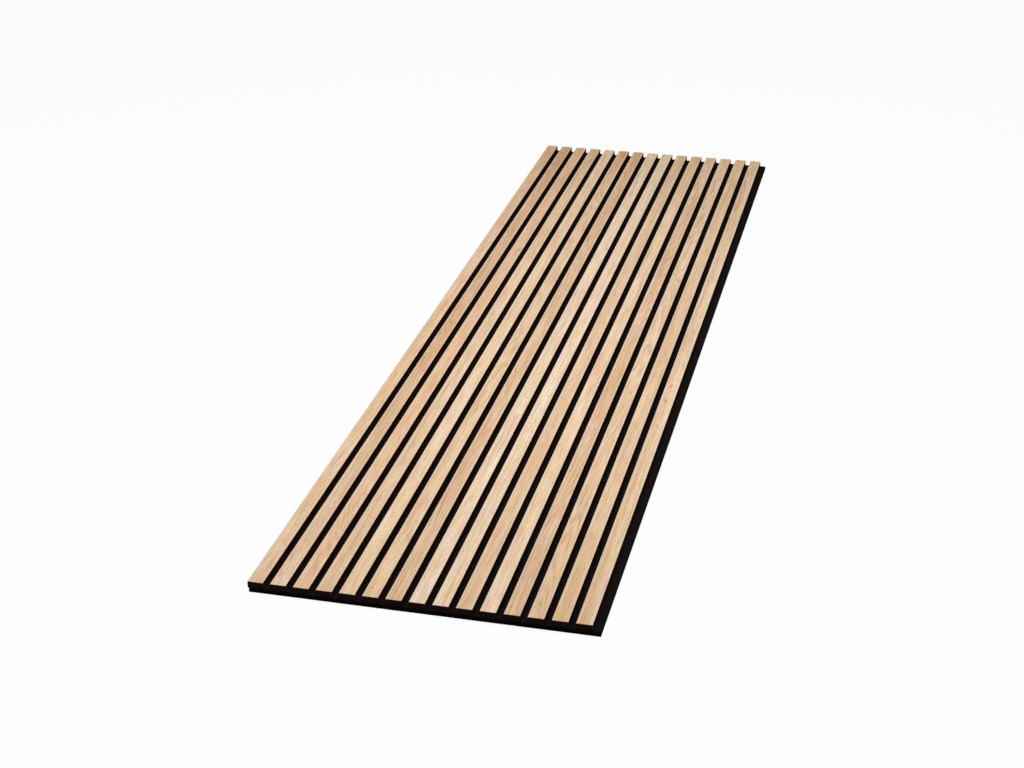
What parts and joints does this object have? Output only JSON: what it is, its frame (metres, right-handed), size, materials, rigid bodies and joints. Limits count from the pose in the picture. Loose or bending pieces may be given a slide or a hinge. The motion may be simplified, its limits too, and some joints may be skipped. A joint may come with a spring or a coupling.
{
  "type": "acoustic slat wall panel",
  "caption": "acoustic wall panel: long oak-veneered slats with black sides, evenly spaced on a black felt board that shows in the grooves and as a bare margin along one side",
  "frame": {"origin": "on the wall face, in the middle of the panel's overall width and length; the panel lies on that face", "axes": "+X across the slats towards the bare felt margin, +Y along the slats, +Z from the wall face to the oak face"},
  "size_m": [0.6014, 2.4, 0.021],
  "materials": {
    "oak_veneer": "matte",
    "black_mdf": "matte",
    "black_felt": "matte",
    "staple_wire": "satin"
  },
  "bodies": {
    "root": {"acoustic_felt": "black_felt", "backing_staples": "staple_wire", "slat_core_01": "black_mdf", "slat_core_02": "black_mdf", "slat_core_03": "black_mdf", "slat_core_04": "black_mdf", "slat_core_05": "black_mdf", "slat_core_06": "black_mdf", "slat_core_07": "black_mdf", "slat_core_08": "black_mdf", "slat_core_09": "black_mdf", "slat_core_10": "black_mdf", "slat_core_11": "black_mdf", "slat_core_12": "black_mdf", "slat_core_13": "black_mdf", "slat_core_14": "black_mdf", "slat_core_15": "black_mdf", "oak_veneer_01": "oak_veneer", "oak_veneer_02": "oak_veneer", "oak_veneer_03": "oak_veneer", "oak_veneer_04": "oak_veneer", "oak_veneer_05": "oak_veneer", "oak_veneer_06": "oak_veneer", "oak_veneer_07": "oak_veneer", "oak_veneer_08": "oak_veneer", "oak_veneer_09": "oak_veneer", "oak_veneer_10": "oak_veneer", "oak_veneer_11": "oak_veneer", "oak_veneer_12": "oak_veneer", "oak_veneer_13": "oak_veneer", "oak_veneer_14": "oak_veneer", "oak_veneer_15": "oak_veneer"}
  },
  "joints": []
}
